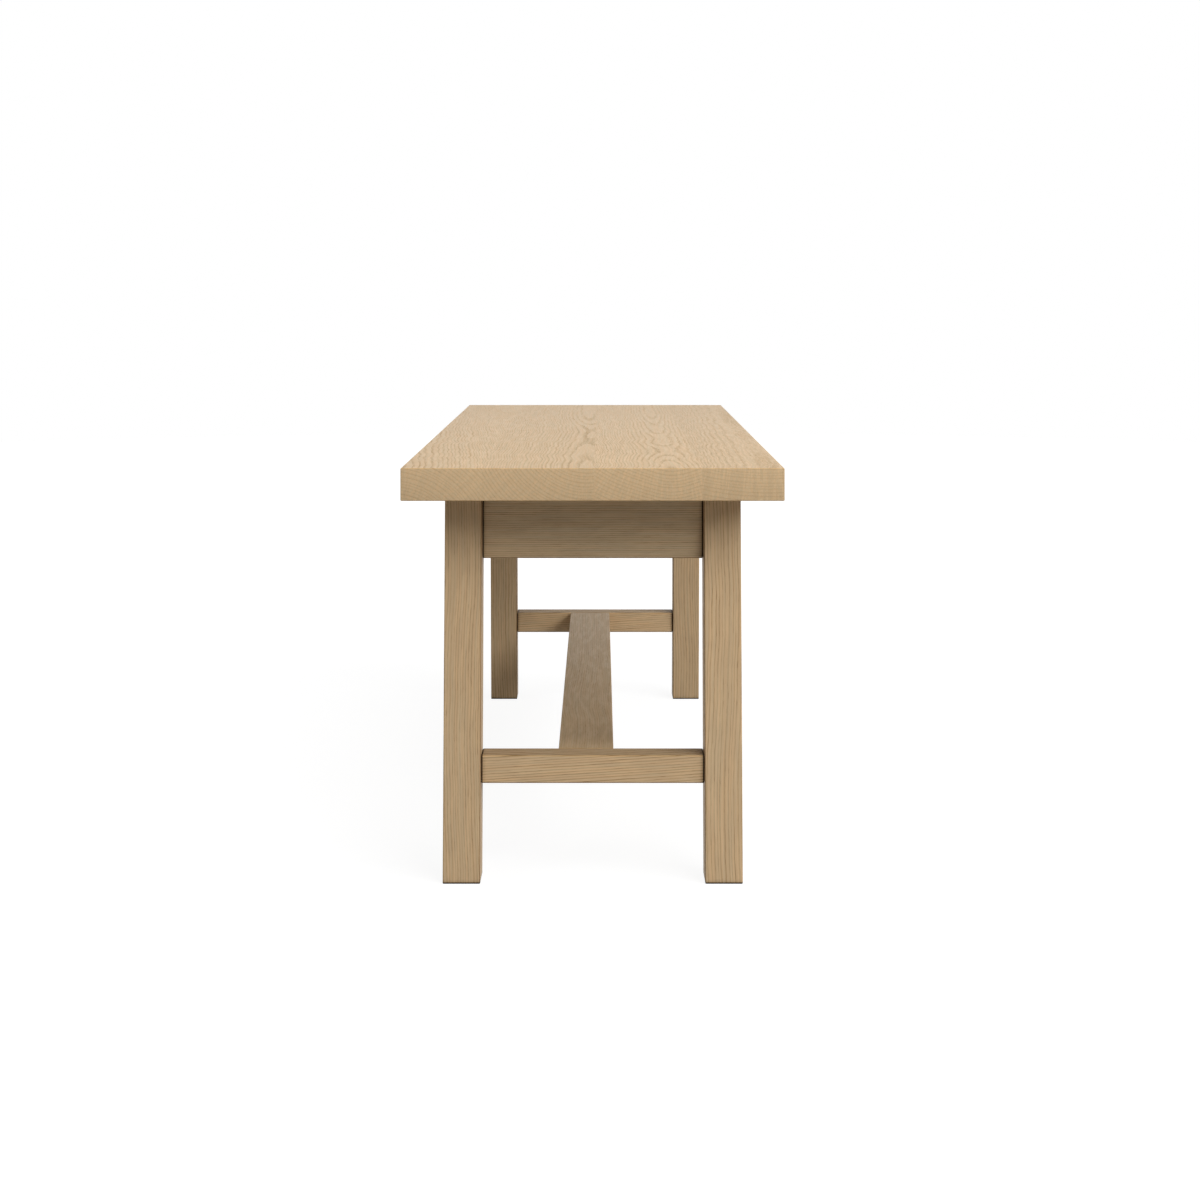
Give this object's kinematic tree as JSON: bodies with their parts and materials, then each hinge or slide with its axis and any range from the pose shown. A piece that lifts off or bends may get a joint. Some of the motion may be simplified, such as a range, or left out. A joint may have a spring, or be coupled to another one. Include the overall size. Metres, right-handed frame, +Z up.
{
  "type": "dining bench",
  "caption": "Oak dining bench: slab seat glued from staves, on two end frames with splayed square legs, an apron and a low crossbar, tied by a flat low stretcher.",
  "frame": {"origin": "on the floor, under the middle of the seat", "axes": "+X along the bench towards the end nearest in the picture, +Y across it towards the picture's right, +Z up"},
  "size_m": [1.1, 0.4014, 0.45],
  "materials": {
    "seat_oak": "pale matt oak with grey grain, end grain on the two ends",
    "leg_oak": "pale matt oak, straight grain along the leg",
    "rail_oak": "pale matt oak, straight grain along the rail",
    "zinc_plate": "zinc plated"
  },
  "bodies": {
    "root": {"seat_stave_left": "seat_oak", "seat_stave_middle_left": "seat_oak", "seat_stave_middle_right": "seat_oak", "seat_stave_right": "seat_oak", "leg_near_left": "leg_oak", "leg_near_right": "leg_oak", "leg_far_left": "leg_oak", "leg_far_right": "leg_oak", "apron_near": "rail_oak", "crossbar_near": "rail_oak", "apron_far": "rail_oak", "crossbar_far": "rail_oak", "stretcher": "rail_oak", "bracket_near_left": "zinc_plate", "apron_screw_near_left_1": "zinc_plate", "apron_screw_near_left_2": "zinc_plate", "seat_screw_near_left_1": "zinc_plate", "seat_screw_near_left_2": "zinc_plate", "bracket_near_right": "zinc_plate", "apron_screw_near_right_1": "zinc_plate", "apron_screw_near_right_2": "zinc_plate", "seat_screw_near_right_1": "zinc_plate", "seat_screw_near_right_2": "zinc_plate", "bracket_far_left": "zinc_plate", "apron_screw_far_left_1": "zinc_plate", "apron_screw_far_left_2": "zinc_plate", "seat_screw_far_left_1": "zinc_plate", "seat_screw_far_left_2": "zinc_plate", "bracket_far_right": "zinc_plate", "apron_screw_far_right_1": "zinc_plate", "apron_screw_far_right_2": "zinc_plate", "seat_screw_far_right_1": "zinc_plate", "seat_screw_far_right_2": "zinc_plate"}
  },
  "joints": []
}
